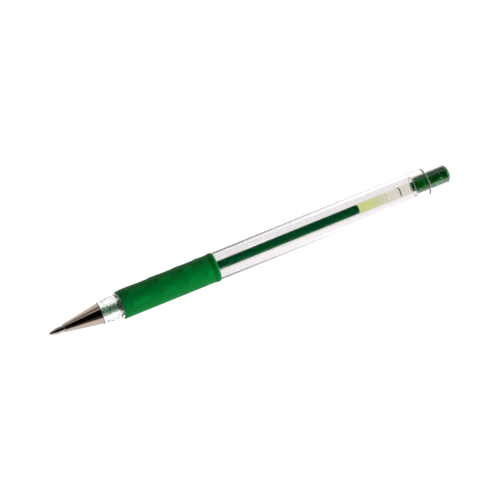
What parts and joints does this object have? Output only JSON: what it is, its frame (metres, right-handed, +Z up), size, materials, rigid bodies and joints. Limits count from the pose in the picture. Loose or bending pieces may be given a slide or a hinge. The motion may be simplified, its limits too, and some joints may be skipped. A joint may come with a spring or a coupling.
{
  "type": "gel pen",
  "caption": "Uncapped gel pen lying on its side: clear barrel and front collar, green nubbed rubber grip, metal screw-on nose cone, green end plug, clear refill with green ink.",
  "frame": {"origin": "middle of the pen's length, on the plane that the pen lies on, below its axis", "axes": "+X along the pen from the writing tip to the rear dome, +Z up, the pen lying on its side"},
  "size_m": [0.143, 0.0098, 0.0098],
  "materials": {
    "clear_barrel": "clear gloss",
    "clear_collar": "clear gloss",
    "grip_rubber": "satin",
    "plug_plastic": "gloss",
    "cone_metal": "polished nickel plate",
    "refill_plastic": "translucent",
    "holder_plastic": "translucent",
    "tip_metal": "bright turned",
    "ball_metal": "polished",
    "ink": "wet",
    "follower_grease": "wet"
  },
  "bodies": {
    "barrel": {"barrel_tube": "clear_barrel", "front_collar": "clear_collar", "grip_sleeve": "grip_rubber", "end_plug": "plug_plastic"},
    "refill": {"refill_tube": "refill_plastic", "tip_holder": "holder_plastic", "writing_tip": "tip_metal", "ink_column": "ink"},
    "nose_cone": {"nose_cone": "cone_metal"},
    "ball": {"ball": "ball_metal"},
    "follower": {"ink_follower": "follower_grease"}
  },
  "joints": [
    {"name": "refill_slide", "type": "slide", "parent": "barrel", "child": "refill", "axis": [-1, 0, 0], "range_m": [0, 0.005]},
    {"name": "cone_turn", "type": "hinge", "parent": "refill", "child": "nose_cone", "pos_m": [-0.0665, 0, 0.00492], "axis": [-1, 0, 0], "range_deg": [0, 1800]},
    {"name": "ball_roll", "type": "hinge", "parent": "refill", "child": "ball", "pos_m": [-0.07115, 0, 0.00492], "axis": [0, 1, 0], "continuous": true},
    {"name": "follower_slide", "type": "slide", "parent": "refill", "child": "follower", "axis": [-1, 0, 0], "range_m": [0, 0.0755], "deforming": ["ink_column"]}
  ],
  "couplings": [
    {"joint": "cone_turn", "follows": "refill_slide", "rad_per_m": 6283.2}
  ]
}
